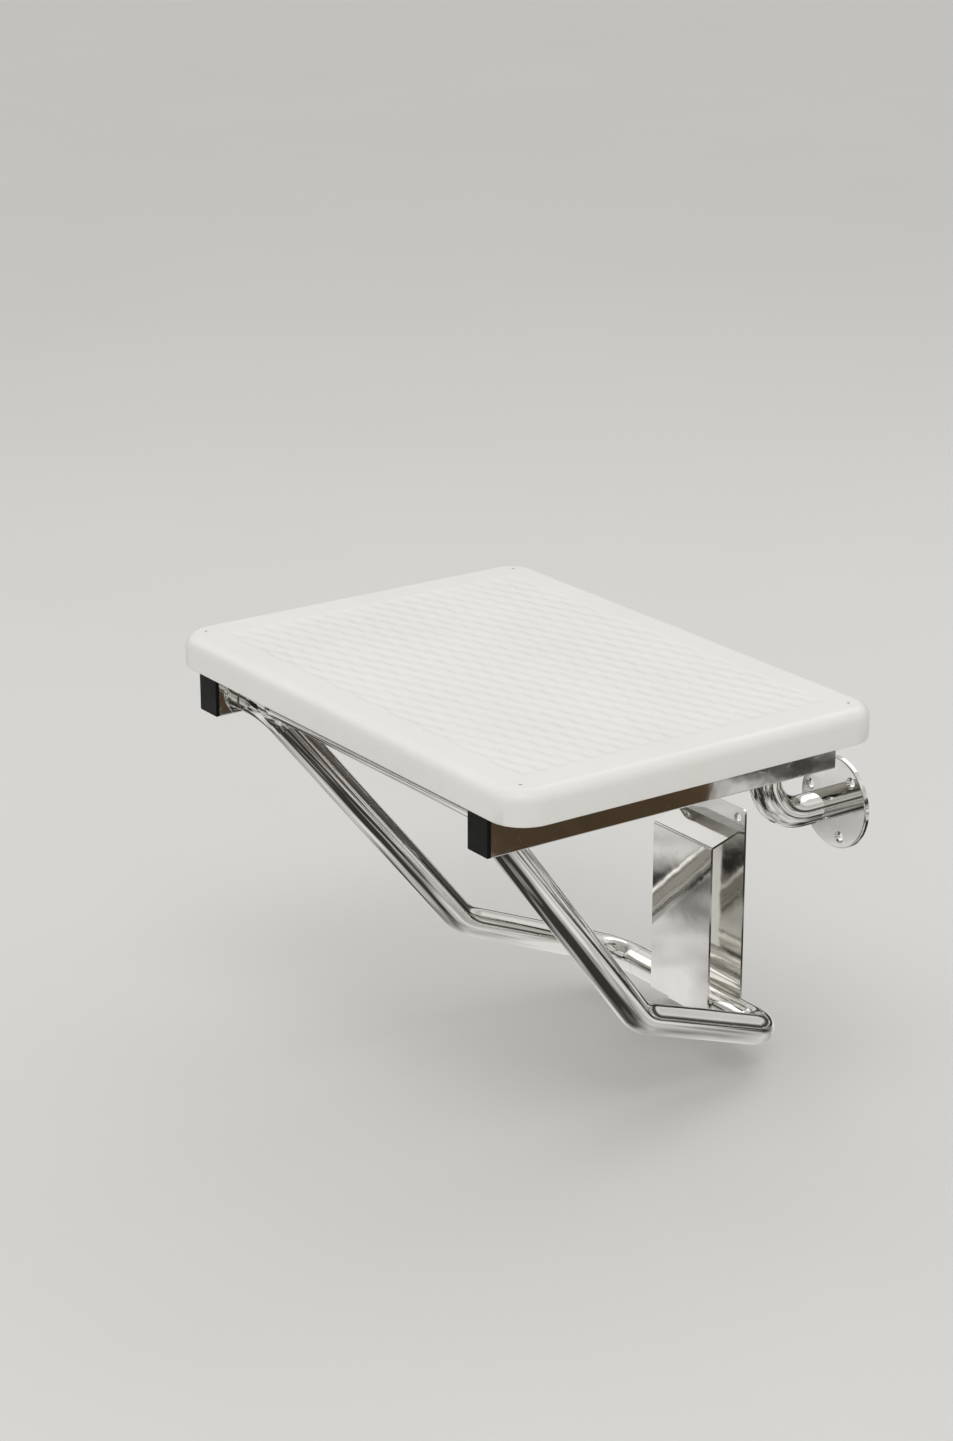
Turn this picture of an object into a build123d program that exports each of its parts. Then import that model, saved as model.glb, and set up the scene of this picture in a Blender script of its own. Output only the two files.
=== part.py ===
"""Wall mounted fold-up shower seat with a folding leg frame and a wall guide.

Millimetres. +X runs along the wall, +Y points into the wall and +Z is up. The seat is stored folded down.
Sizes below count heights from the wall flange centres. The finished nodes are moved so that the origin
is the centre of the wall guide's four holes, on the wall plane and on the seat's centre line.
"""

import math
import os

from build123d import *

# Tube stock
TUBE_D = 25.4
TUBE_WALL = 2.0
RUN_CLEARANCE = 0.05
SIDE_GAP = 0.3

# Wall flanges and arms
FLANGE_D = 76.2
FLANGE_T = 4.0
FLANGE_EDGE_R = 1.2
FLANGE_HOLE_D = 6.6
FLANGE_SINK_D = 10.0
FLANGE_SINK_DEPTH = 1.6
FLANGE_PCD = 57.6
FLANGE_HOLE_ANGLES = (-73.0, 47.0, 167.0)
ARM_REACH = 76.0
ARM_BEND_R = 38.0
ARM_OVER_HINGE = 12.0
ARM_PLUG_FLANGE_T = 1.5
ARM_PLUG_DEPTH = 4.5
ARM_PLUG_EDGE_R = 1.0

# Main hinge of the seat
HINGE_Z = 63.0
HINGE_BOLT_D = 10.0
HINGE_HEAD_D = 16.0
HINGE_HEAD_T = 3.6
HINGE_SOCKET_D = 6.0
HINGE_SOCKET_DEPTH = 2.0
HINGE_BUSH_WALL = 1.0
HINGE_GAP = 7.3
HINGE_WASHER_D = 20.0
HINGE_BLOCK_L = 28.0
HINGE_BLOCK_W = 13.0

# Side rails
RAIL_W = 25.4
RAIL_H = 31.75
RAIL_WALL = 1.5
RAIL_CORNER_R = 1.2
RAIL_BELOW_HINGE = 13.0
RAIL_FRONT_SETBACK = 3.0
RAIL_REAR_SETBACK = 16.0
CAP_T = 3.0
CAP_PLUG_DEPTH = 12.0
CAP_EDGE_R = 0.8
PLUG_FIT = 0.1
BLOCK_FIT = 0.4

# Seat moulding
SEAT_W = 473.0
SEAT_DEPTH = 346.0
SEAT_WALL_GAP = 28.0
SEAT_ARM_INSET = 81.5
SEAT_T = 26.75
SEAT_PLAN_R = 28.0
SEAT_EDGE_R = 10.0
SEAT_LIP_R = 1.2
SEAT_WALL = 4.0
ARM_RELIEF_GAP = 1.5
ARM_RELIEF_DEPTH = 8.0
ARM_RELIEF_RISE = 11.0
ARM_RELIEF_WALL = 3.0
SEAT_RIB_T = 3.0
SEAT_RIBS_X = 6
SEAT_RIBS_Y = 4
BASE_T = 3.0
BASE_FIT = 0.3

# Screws that hold the seat on the rails
SCREW_D = 4.8
SCREW_HOLE_D = 5.2
SCREW_HEAD_D = 9.0
SCREW_HEAD_T = 2.6
SCREW_L = 20.0
SCREW_RECESS_D = 3.0
SCREW_ACCESS_D = 11.0
SCREW_BOSS_D = 12.0
SCREW_SPACING_SHARE = 0.27

# Front axle that the legs turn on
AXLE_D = 12.7
AXLE_SETBACK = 36.0
AXLE_BELOW_HINGE = 3.0
AXLE_BLOCK_W = 14.0
AXLE_HOLE_GAP = 0.3
LEG_SIDE_GAP = 2.0
LEG_WASHER_D = 22.0
LEG_BUSH_L = 9.0

# Leg tubes, each bent at the top, at the elbow and at the wall
LEG_TOP_RUN = 29.0
LEG_TOP_R = 20.0
ELBOW_INSET = 25.0
ELBOW_REACH_SHARE = 0.4733
ELBOW_RISE_SHARE = 0.2156
ELBOW_R = 42.0
FOOT_Z = -216.0
FOOT_R = 30.0
FOOT_RUN = 32.0
FOOT_JOINT_X = 70.0
FOOT_PLUG_DEPTH = 6.0

# Wall guide that the cross tube slides in
GUIDE_SHEET_T = 2.0
GUIDE_CLEARANCE = 0.5
GUIDE_PLATE_W = 92.0
GUIDE_OVER_HOOD = 29.4
GUIDE_BELOW_TUBE = 14.0
GUIDE_CORNER_R = 3.0
GUIDE_HOLE_D = 6.0
GUIDE_SINK_D = 9.5
GUIDE_SINK_DEPTH = 1.2
GUIDE_HOLE_SPACING = 74.0
GUIDE_TOP_HOLE_EDGE = 9.3
GUIDE_LOW_HOLE_EDGE = 6.2
GUIDE_LIP_W = 50.0
HOOD_W = 76.2
HOOD_HEADROOM = 10.4
HOOD_RISE = 8.8
HOOD_BELOW_FOOT = 7.0
HOOD_BEND_R = 2.6

# Places that follow from the sizes above
TUBE_R = TUBE_D / 2
ARM_X = SEAT_W / 2 - SEAT_ARM_INSET
RAIL_INNER_X = ARM_X + TUBE_R + HINGE_GAP
RAIL_X = RAIL_INNER_X + RAIL_W / 2
RAIL_BOTTOM = HINGE_Z - RAIL_BELOW_HINGE
RAIL_TOP = RAIL_BOTTOM + RAIL_H
SEAT_BOTTOM = RAIL_TOP
SEAT_TOP = SEAT_BOTTOM + SEAT_T
SEAT_REAR = -SEAT_WALL_GAP
SEAT_FRONT = SEAT_REAR - SEAT_DEPTH
SEAT_MID_Y = (SEAT_FRONT + SEAT_REAR) / 2
RAIL_FRONT = SEAT_FRONT + RAIL_FRONT_SETBACK
RAIL_REAR = SEAT_REAR - RAIL_REAR_SETBACK
SCREW_SPACING = SEAT_DEPTH * SCREW_SPACING_SHARE
SCREW_STATIONS = (SEAT_MID_Y - SCREW_SPACING, SEAT_MID_Y, SEAT_MID_Y + SCREW_SPACING)
AXLE_Y = SEAT_FRONT + AXLE_SETBACK
AXLE_Z = HINGE_Z - AXLE_BELOW_HINGE
FOOT_X = FOOT_JOINT_X + FOOT_RUN
FOOT_Y = -(GUIDE_SHEET_T + GUIDE_CLEARANCE + TUBE_R)
LEG_TOP_X = RAIL_INNER_X - LEG_TOP_RUN
ELBOW_X = LEG_TOP_X - ELBOW_INSET
ELBOW_Y = FOOT_Y + (AXLE_Y - FOOT_Y) * ELBOW_REACH_SHARE
ELBOW_Z = FOOT_Z + (AXLE_Z - FOOT_Z) * ELBOW_RISE_SHARE

# Travel of the cross tube when the seat is folded up against the wall
LEG_REACH = math.hypot(AXLE_Y - FOOT_Y, AXLE_Z - FOOT_Z)
FOLDED_AXLE_Y = -ARM_REACH + AXLE_Z - HINGE_Z
FOLDED_AXLE_Z = HINGE_Z - ARM_REACH - AXLE_Y
FOLDED_FOOT_Z = FOLDED_AXLE_Z - math.sqrt(LEG_REACH**2 - (FOLDED_AXLE_Y - FOOT_Y) ** 2)

# Wall guide, tall enough for that travel
HOOD_TOP = FOLDED_FOOT_Z + TUBE_R + HOOD_HEADROOM
HOOD_BOTTOM = FOOT_Z - HOOD_BELOW_FOOT
GUIDE_PLATE_TOP = HOOD_TOP + GUIDE_OVER_HOOD
HOOD_FRONT = FOOT_Y - TUBE_R - GUIDE_CLEARANCE - GUIDE_SHEET_T
GUIDE_PLATE_BOTTOM = FOOT_Z - TUBE_R - GUIDE_BELOW_TUBE
GUIDE_TOP_HOLE_Z = GUIDE_PLATE_TOP - GUIDE_TOP_HOLE_EDGE
GUIDE_LOW_HOLE_Z = GUIDE_PLATE_BOTTOM + GUIDE_LOW_HOLE_EDGE
ORIGIN_Z = (GUIDE_TOP_HOLE_Z + GUIDE_LOW_HOLE_Z) / 2


def block(x0, x1, y0, y1, z0, z1):
    """Box between two opposite corners."""
    size = Box(x1 - x0, y1 - y0, z1 - z0)
    return Pos((x0 + x1) / 2, (y0 + y1) / 2, (z0 + z1) / 2) * size


def rod_x(x0, x1, y, z, diameter):
    """Round bar along X."""
    bar = Cylinder(diameter / 2, x1 - x0)
    return Pos((x0 + x1) / 2, y, z) * Rot(0, 90, 0) * bar


def rod_y(x, y0, y1, z, diameter):
    """Round bar along Y."""
    bar = Cylinder(diameter / 2, y1 - y0)
    return Pos(x, (y0 + y1) / 2, z) * Rot(90, 0, 0) * bar


def rod_z(x, y, z0, z1, diameter):
    """Round bar along Z."""
    bar = Cylinder(diameter / 2, z1 - z0)
    return Pos(x, y, (z0 + z1) / 2) * bar


def mirrored(shape):
    """The same piece on the other side of the seat's centre line."""
    return mirror(shape, about=Plane.YZ)


def bent_path(points, radii):
    """Straight runs joined by tangent arcs, one radius for each inner point."""
    places = [Vector(*point) for point in points]
    edges = []
    start = places[0]
    for i, radius in enumerate(radii, start=1):
        back = (places[i - 1] - places[i]).normalized()
        ahead = (places[i + 1] - places[i]).normalized()
        half = math.radians(back.get_angle(ahead)) / 2
        middle = (back + ahead).normalized()
        arc_start = places[i] + back * (radius / math.tan(half))
        arc_end = places[i] + ahead * (radius / math.tan(half))
        arc_top = places[i] + middle * (radius / math.sin(half) - radius)
        edges.append(Line(start, arc_start))
        edges.append(ThreePointArc(arc_start, arc_top, arc_end))
        start = arc_end
    edges.append(Line(start, places[-1]))
    return Wire([edge.edge() for edge in edges])


def bent_tube(points, radii):
    """Tube of the common stock along a bent path."""
    path = bent_path(points, radii)
    start = Plane(origin=path @ 0, z_dir=path % 0)
    outer = sweep(start * Circle(TUBE_R), path=path)
    inner = sweep(start * Circle(TUBE_R - TUBE_WALL), path=path)
    return outer - inner


def rounded_plan(width, depth, radius):
    """Plan outline of the seat, centred on its own middle."""
    return Pos(0, SEAT_MID_Y) * RectangleRounded(width, depth, radius)


def screw_places():
    """Plan places of the seat screws, on both rails."""
    return [(side * RAIL_X, y) for side in (-1, 1) for y in SCREW_STATIONS]


def wall_flange():
    """Right wall flange, a polished disc with three countersunk holes."""
    disc = rod_y(ARM_X, -FLANGE_T, 0, 0, FLANGE_D)
    rim = disc.edges().filter_by(GeomType.CIRCLE).sort_by(Axis.Y)[0]
    disc = fillet(rim, FLANGE_EDGE_R)
    for angle in FLANGE_HOLE_ANGLES:
        x = ARM_X + FLANGE_PCD / 2 * math.cos(math.radians(angle))
        z = FLANGE_PCD / 2 * math.sin(math.radians(angle))
        disc -= rod_y(x, -FLANGE_T, 0, z, FLANGE_HOLE_D)
        sink = Cone(FLANGE_HOLE_D / 2, FLANGE_SINK_D / 2, FLANGE_SINK_DEPTH)
        disc -= Pos(x, -FLANGE_T + FLANGE_SINK_DEPTH / 2, z) * Rot(90, 0, 0) * sink
    return disc


def arm_tube():
    """Right arm, out of the wall flange and up beside the rail."""
    top = HINGE_Z + ARM_OVER_HINGE
    points = [(ARM_X, -FLANGE_T, 0), (ARM_X, -ARM_REACH, 0), (ARM_X, -ARM_REACH, top)]
    tube = bent_tube(points, [ARM_BEND_R])
    bush_d = HINGE_BOLT_D + 2 * (RUN_CLEARANCE + HINGE_BUSH_WALL)
    return tube - rod_x(ARM_X - TUBE_D, ARM_X + TUBE_D, -ARM_REACH, HINGE_Z, bush_d)


def arm_plug():
    """Plug that closes the top of the right arm."""
    top = HINGE_Z + ARM_OVER_HINGE
    flange = rod_z(ARM_X, -ARM_REACH, top, top + ARM_PLUG_FLANGE_T, TUBE_D)
    rim = flange.edges().filter_by(GeomType.CIRCLE).sort_by(Axis.Z)[-1]
    flange = fillet(rim, ARM_PLUG_EDGE_R)
    inner = TUBE_D - 2 * (TUBE_WALL + PLUG_FIT)
    return flange + rod_z(ARM_X, -ARM_REACH, top - ARM_PLUG_DEPTH, top, inner)


def hinge_bush():
    """Bush through the right arm that the hinge bolt turns in."""
    bore = HINGE_BOLT_D + 2 * RUN_CLEARANCE
    outer = rod_x(ARM_X - TUBE_R, ARM_X + TUBE_R, -ARM_REACH, HINGE_Z, bore + 2 * HINGE_BUSH_WALL)
    return outer - rod_x(ARM_X - TUBE_D, ARM_X + TUBE_D, -ARM_REACH, HINGE_Z, bore)


def hinge_bolt():
    """Button head bolt through the right arm into the rail."""
    head_x = ARM_X - TUBE_R - SIDE_GAP
    end_x = RAIL_INNER_X + RAIL_WALL + HINGE_BLOCK_W
    shank = rod_x(head_x, end_x, -ARM_REACH, HINGE_Z, HINGE_BOLT_D)
    head = rod_x(head_x - HINGE_HEAD_T, head_x, -ARM_REACH, HINGE_Z, HINGE_HEAD_D)
    rim = head.edges().filter_by(GeomType.CIRCLE).sort_by(Axis.X)[0]
    head = fillet(rim, HINGE_HEAD_T * 0.6)
    socket_x = head_x - HINGE_HEAD_T
    socket = Pos(socket_x, -ARM_REACH, HINGE_Z) * Rot(0, 90, 0) * extrude(
        RegularPolygon(HINGE_SOCKET_D / 2, 6), HINGE_SOCKET_DEPTH
    )
    return head + shank - socket


def hinge_block():
    """Threaded block inside the right rail that takes the hinge bolt."""
    inner_x = RAIL_INNER_X + RAIL_WALL
    low = RAIL_BOTTOM + RAIL_WALL + BLOCK_FIT
    high = RAIL_TOP - RAIL_WALL - BLOCK_FIT
    half = HINGE_BLOCK_L / 2
    body = block(inner_x, inner_x + HINGE_BLOCK_W, -ARM_REACH - half, -ARM_REACH + half, low, high)
    return body - rod_x(inner_x - 1, inner_x + RAIL_W, -ARM_REACH, HINGE_Z, HINGE_BOLT_D)


def hinge_washer():
    """Plastic spacer between the right arm and the rail."""
    low = ARM_X + TUBE_R + SIDE_GAP
    ring = rod_x(low, RAIL_INNER_X, -ARM_REACH, HINGE_Z, HINGE_WASHER_D)
    return ring - rod_x(low - 1, RAIL_INNER_X + 1, -ARM_REACH, HINGE_Z, HINGE_BOLT_D)


def rail_section(inset):
    """Upright section of a rail, inset from its outside."""
    radius = max(RAIL_CORNER_R - inset, 0.3)
    return RectangleRounded(RAIL_W - 2 * inset, RAIL_H - 2 * inset, radius)


def rail_bar(y0, y1, inset):
    """Bar with the rail's section between two stations."""
    place = Plane(origin=(RAIL_X, y0, (RAIL_BOTTOM + RAIL_TOP) / 2), x_dir=(1, 0, 0), z_dir=(0, 1, 0))
    return extrude(place * rail_section(inset), y1 - y0)


def side_rail():
    """Right side rail with its hinge, axle and screw holes."""
    front = RAIL_FRONT + CAP_T
    rail = rail_bar(front, RAIL_REAR, 0) - rail_bar(front - 1, RAIL_REAR + 1, RAIL_WALL)
    near = RAIL_INNER_X - 1
    far = RAIL_INNER_X + RAIL_WALL + 1
    rail -= rod_x(near, far, -ARM_REACH, HINGE_Z, HINGE_BOLT_D)
    rail -= rod_x(near, far, AXLE_Y, AXLE_Z, AXLE_D)
    for y in SCREW_STATIONS:
        rail -= rod_z(RAIL_X, y, RAIL_TOP - RAIL_WALL - 1, RAIL_TOP + 1, SCREW_HOLE_D)
        rail -= rod_z(RAIL_X, y, RAIL_BOTTOM - 1, RAIL_BOTTOM + RAIL_WALL + 1, SCREW_ACCESS_D)
    return rail


def front_cap():
    """Black cap on the front end of the right rail."""
    cap = rail_bar(RAIL_FRONT, RAIL_FRONT + CAP_T, 0)
    cap = fillet(cap.faces().sort_by(Axis.Y)[0].edges(), CAP_EDGE_R)
    inset = RAIL_WALL + PLUG_FIT
    return cap + rail_bar(RAIL_FRONT + CAP_T, RAIL_FRONT + CAP_T + CAP_PLUG_DEPTH, inset)


def rear_plug():
    """Plug set flush in the rear end of the right rail."""
    return rail_bar(RAIL_REAR - CAP_PLUG_DEPTH, RAIL_REAR, RAIL_WALL + PLUG_FIT)


def arm_relief(grow):
    """Space at the seat's rear lower corner that the right arm's bend takes when folded, grown by a wall."""
    half = TUBE_R + ARM_RELIEF_GAP + grow
    near = SEAT_REAR - ARM_RELIEF_DEPTH - grow
    high = SEAT_BOTTOM + ARM_RELIEF_RISE + grow
    return block(ARM_X - half, ARM_X + half, near, SEAT_REAR + 1, SEAT_BOTTOM - 1, high)


def seat_panel():
    """Moulded seat top with a skirt, inner ribs and screw bosses."""
    plan = rounded_plan(SEAT_W, SEAT_DEPTH, SEAT_PLAN_R)
    body = extrude(Pos(0, 0, SEAT_BOTTOM) * plan, SEAT_T)
    body = fillet(body.faces().sort_by(Axis.Z)[-1].edges(), SEAT_EDGE_R)
    body = fillet(body.faces().sort_by(Axis.Z)[0].edges(), SEAT_LIP_R)
    inside = rounded_plan(SEAT_W - 2 * SEAT_WALL, SEAT_DEPTH - 2 * SEAT_WALL, SEAT_PLAN_R - SEAT_WALL)
    hollow = extrude(Pos(0, 0, SEAT_BOTTOM) * inside, SEAT_T - SEAT_WALL)
    hollow = fillet(hollow.faces().sort_by(Axis.Z)[-1].edges(), SEAT_EDGE_R - SEAT_WALL)
    rib_low = SEAT_BOTTOM + BASE_T
    ribs = []
    for i in range(1, SEAT_RIBS_X + 1):
        x = -SEAT_W / 2 + SEAT_W * i / (SEAT_RIBS_X + 1)
        half = SEAT_RIB_T / 2
        ribs.append(block(x - half, x + half, SEAT_FRONT, SEAT_REAR, rib_low, SEAT_TOP))
    for i in range(1, SEAT_RIBS_Y + 1):
        y = SEAT_FRONT + SEAT_DEPTH * i / (SEAT_RIBS_Y + 1)
        half = SEAT_RIB_T / 2
        ribs.append(block(-SEAT_W / 2, SEAT_W / 2, y - half, y + half, rib_low, SEAT_TOP))
    for x, y in screw_places():
        ribs.append(rod_z(x, y, rib_low, SEAT_TOP, SCREW_BOSS_D))
    relief_wall = arm_relief(ARM_RELIEF_WALL) & block(0, SEAT_W, SEAT_FRONT, 0, rib_low, SEAT_TOP)
    ribs += [relief_wall, mirrored(relief_wall)]
    for rib in ribs:
        hollow -= rib
    body -= hollow
    body -= arm_relief(0)
    body -= mirrored(arm_relief(0))
    for x, y in screw_places():
        body -= rod_z(x, y, rib_low - 1, RAIL_TOP - RAIL_WALL + SCREW_L, SCREW_D)
    return body


def seat_base():
    """Plate that closes the underside of the moulding."""
    gap = SEAT_WALL + BASE_FIT
    plan = rounded_plan(SEAT_W - 2 * gap, SEAT_DEPTH - 2 * gap, SEAT_PLAN_R - gap)
    plate = extrude(Pos(0, 0, SEAT_BOTTOM) * plan, BASE_T)
    for x, y in screw_places():
        plate -= rod_z(x, y, SEAT_BOTTOM - 1, SEAT_BOTTOM + BASE_T + 1, SCREW_HOLE_D)
    plate -= arm_relief(BASE_FIT)
    plate -= mirrored(arm_relief(BASE_FIT))
    return plate


def seat_screw(x, y):
    """Pan head screw up through a rail into the moulding."""
    under = RAIL_TOP - RAIL_WALL
    head = rod_z(x, y, under - SCREW_HEAD_T, under, SCREW_HEAD_D)
    rim = head.edges().filter_by(GeomType.CIRCLE).sort_by(Axis.Z)[0]
    head = fillet(rim, SCREW_HEAD_T * 0.5)
    recess = rod_z(x, y, under - SCREW_HEAD_T, under - SCREW_HEAD_T / 2, SCREW_RECESS_D)
    return head + rod_z(x, y, under, under + SCREW_L, SCREW_D) - recess


def axle_block():
    """Block inside the right rail that holds the end of the axle."""
    inner_x = RAIL_INNER_X + RAIL_WALL
    low = RAIL_BOTTOM + RAIL_WALL + BLOCK_FIT
    high = RAIL_TOP - RAIL_WALL - BLOCK_FIT
    start = RAIL_FRONT + CAP_T + CAP_PLUG_DEPTH + SIDE_GAP
    body = block(inner_x, inner_x + AXLE_BLOCK_W, start, start + 2 * (AXLE_Y - start), low, high)
    return body - rod_x(inner_x - 1, inner_x + RAIL_W, AXLE_Y, AXLE_Z, AXLE_D)


def front_axle():
    """Round bar from rail to rail that the legs turn on."""
    end_x = RAIL_INNER_X + RAIL_WALL + AXLE_BLOCK_W
    return rod_x(-end_x, end_x, AXLE_Y, AXLE_Z, AXLE_D)


def leg_washer():
    """Plastic washer between the right leg and the rail."""
    low = RAIL_INNER_X - LEG_SIDE_GAP + SIDE_GAP
    ring = rod_x(low, RAIL_INNER_X, AXLE_Y, AXLE_Z, LEG_WASHER_D)
    return ring - rod_x(low - 1, RAIL_INNER_X + 1, AXLE_Y, AXLE_Z, AXLE_D)


def leg_tube():
    """Right leg, from the axle down to the elbow and in to the wall."""
    end_x = RAIL_INNER_X - LEG_SIDE_GAP
    points = [
        (end_x, AXLE_Y, AXLE_Z),
        (LEG_TOP_X, AXLE_Y, AXLE_Z),
        (ELBOW_X, ELBOW_Y, ELBOW_Z),
        (FOOT_X, FOOT_Y, FOOT_Z),
        (FOOT_JOINT_X + SIDE_GAP, FOOT_Y, FOOT_Z),
    ]
    tube = bent_tube(points, [LEG_TOP_R, ELBOW_R, FOOT_R])
    return tube - rod_x(0, end_x, AXLE_Y, AXLE_Z, AXLE_D + 2 * AXLE_HOLE_GAP)


def leg_bush():
    """Bush in the top of the right leg that runs on the axle."""
    end_x = RAIL_INNER_X - LEG_SIDE_GAP
    outer = rod_x(end_x - LEG_BUSH_L, end_x, AXLE_Y, AXLE_Z, TUBE_D - 2 * TUBE_WALL)
    return outer - rod_x(0, end_x + 1, AXLE_Y, AXLE_Z, AXLE_D + 2 * RUN_CLEARANCE)


def cross_tube():
    """Straight tube along the wall that slides in the guide."""
    outer = rod_x(-FOOT_JOINT_X, FOOT_JOINT_X, FOOT_Y, FOOT_Z, TUBE_D)
    return outer - rod_x(-FOOT_JOINT_X - 1, FOOT_JOINT_X + 1, FOOT_Y, FOOT_Z, TUBE_D - 2 * TUBE_WALL)


def cross_plug():
    """Plug in the right end of the cross tube."""
    inner = TUBE_D - 2 * (TUBE_WALL + PLUG_FIT)
    return rod_x(FOOT_JOINT_X - FOOT_PLUG_DEPTH, FOOT_JOINT_X, FOOT_Y, FOOT_Z, inner)


def guide_wall_plate():
    """Plate on the wall behind the cross tube, with a lip under it."""
    low = GUIDE_PLATE_BOTTOM
    high = GUIDE_PLATE_TOP
    outline = Plane(origin=(0, 0, (low + high) / 2), x_dir=(1, 0, 0), z_dir=(0, -1, 0))
    plate = extrude(outline * RectangleRounded(GUIDE_PLATE_W, high - low, GUIDE_CORNER_R), GUIDE_SHEET_T)
    lip_top = FOOT_Z - TUBE_R - SIDE_GAP
    lip_front = FOOT_Y - TUBE_R / 2
    half = GUIDE_LIP_W / 2
    plate += block(-half, half, lip_front, -GUIDE_SHEET_T / 2, lip_top - GUIDE_SHEET_T, lip_top)
    for side in (-1, 1):
        for z in (GUIDE_TOP_HOLE_Z, GUIDE_LOW_HOLE_Z):
            x = side * GUIDE_HOLE_SPACING / 2
            plate -= rod_y(x, -GUIDE_SHEET_T, 0, z, GUIDE_HOLE_D)
            sink = Cone(GUIDE_HOLE_D / 2, GUIDE_SINK_D / 2, GUIDE_SINK_DEPTH)
            plate -= Pos(x, -GUIDE_SHEET_T + GUIDE_SINK_DEPTH / 2, z) * Rot(90, 0, 0) * sink
    return plate


def guide_hood():
    """Folded cover in front of the cross tube's travel."""
    t = GUIDE_SHEET_T
    slope = HOOD_RISE / (-t - HOOD_FRONT)
    drop = t * math.sqrt(1 + slope * slope)
    points = [
        (HOOD_FRONT, HOOD_BOTTOM),
        (HOOD_FRONT, HOOD_TOP),
        (-t, HOOD_TOP + HOOD_RISE),
        (-t, HOOD_TOP + HOOD_RISE - drop),
        (HOOD_FRONT + t, HOOD_TOP + slope * t - drop),
        (HOOD_FRONT + t, HOOD_BOTTOM),
    ]
    profile = Plane.YZ * make_face(Polyline(*points, close=True).edges())
    hood = extrude(profile, HOOD_W / 2, both=True)
    corner = []
    for edge in hood.edges().filter_by(Axis.X):
        place = edge.center()
        if abs(place.Y - HOOD_FRONT) < 0.01 and abs(place.Z - HOOD_TOP) < 0.01:
            corner.append(edge)
    return fillet(corner, HOOD_BEND_R)


def pair(shape):
    """A right hand piece with its mirror image, as one node."""
    return Compound([shape, mirrored(shape)])


def build():
    """All nodes by name."""
    flange = wall_flange()
    arm = arm_tube()
    rail = side_rail()
    leg = leg_tube()
    return {
        "right_wall_flange": flange,
        "left_wall_flange": mirrored(flange),
        "right_arm_tube": arm,
        "left_arm_tube": mirrored(arm),
        "arm_top_plugs": pair(arm_plug()),
        "hinge_bushes": pair(hinge_bush()),
        "guide_wall_plate": guide_wall_plate(),
        "guide_hood": guide_hood(),
        "seat_panel": seat_panel(),
        "seat_base": seat_base(),
        "right_side_rail": rail,
        "left_side_rail": mirrored(rail),
        "rail_front_caps": pair(front_cap()),
        "rail_rear_plugs": pair(rear_plug()),
        "seat_screws": Compound([seat_screw(x, y) for x, y in screw_places()]),
        "hinge_bolts": pair(hinge_bolt()),
        "hinge_blocks": pair(hinge_block()),
        "hinge_washers": pair(hinge_washer()),
        "front_axle": front_axle(),
        "axle_blocks": pair(axle_block()),
        "leg_washers": pair(leg_washer()),
        "right_leg_tube": leg,
        "left_leg_tube": mirrored(leg),
        "leg_pivot_bushes": pair(leg_bush()),
        "cross_tube": cross_tube(),
        "cross_tube_plugs": pair(cross_plug()),
    }


os.makedirs("parts", exist_ok=True)
for name, shape in build().items():
    placed = Pos(0, 0, -ORIGIN_Z) * shape
    export_step(placed, f"parts/{name}.step")
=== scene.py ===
import math

import bmesh
import bpy
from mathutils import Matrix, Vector


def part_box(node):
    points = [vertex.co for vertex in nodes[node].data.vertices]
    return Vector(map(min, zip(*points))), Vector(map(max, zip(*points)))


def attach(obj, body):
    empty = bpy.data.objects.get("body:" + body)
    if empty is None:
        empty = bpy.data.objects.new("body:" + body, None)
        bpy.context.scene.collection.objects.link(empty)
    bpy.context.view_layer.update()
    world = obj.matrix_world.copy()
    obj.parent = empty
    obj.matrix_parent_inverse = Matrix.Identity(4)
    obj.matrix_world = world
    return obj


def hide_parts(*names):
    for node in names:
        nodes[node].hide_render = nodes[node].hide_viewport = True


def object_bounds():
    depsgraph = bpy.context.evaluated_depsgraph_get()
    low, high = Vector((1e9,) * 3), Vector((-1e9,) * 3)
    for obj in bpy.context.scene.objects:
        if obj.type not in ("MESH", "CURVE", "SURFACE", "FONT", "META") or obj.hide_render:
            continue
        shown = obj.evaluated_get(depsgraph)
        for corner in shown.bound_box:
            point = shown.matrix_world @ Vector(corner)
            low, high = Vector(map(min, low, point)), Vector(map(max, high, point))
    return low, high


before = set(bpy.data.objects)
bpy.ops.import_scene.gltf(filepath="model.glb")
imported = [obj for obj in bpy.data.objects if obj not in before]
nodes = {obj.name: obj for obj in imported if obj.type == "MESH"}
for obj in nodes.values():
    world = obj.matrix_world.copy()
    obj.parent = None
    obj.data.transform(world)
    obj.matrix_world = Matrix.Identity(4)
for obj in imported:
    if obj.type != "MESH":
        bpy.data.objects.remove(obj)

cadLow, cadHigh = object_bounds()
scene = bpy.context.scene
print("loaded", len(nodes), "parts, box", [round(v, 4) for v in (*cadLow, *cadHigh)])


# camera first
cameraSet = {
    "place": (1.94406, -1.60991, 1.05070),
    "turn": 54.817,  # degrees left of straight at the wall
    "tilt": 19.357,  # degrees down
    "lens": 80.72,
    "sensor": 36.0,
    "farthest": 60,
    "view": "Standard",
}


def makeCamera(values):
    data = bpy.data.cameras.new("mainCamera")
    data.lens = values["lens"]
    data.sensor_width = values["sensor"]
    data.clip_end = values["farthest"]
    camera = bpy.data.objects.new("mainCamera", data)
    turn, tilt = math.radians(values["turn"]), math.radians(values["tilt"])
    level = math.cos(tilt)
    forward = Vector((-math.sin(turn) * level, math.cos(turn) * level, -math.sin(tilt)))
    camera.rotation_mode = "QUATERNION"
    camera.rotation_quaternion = forward.to_track_quat("-Z", "Y")
    camera.location = values["place"]
    scene.collection.objects.link(camera)
    scene.camera = camera


makeCamera(cameraSet)
scene.view_settings.view_transform = cameraSet["view"]
print("camera set")


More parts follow.
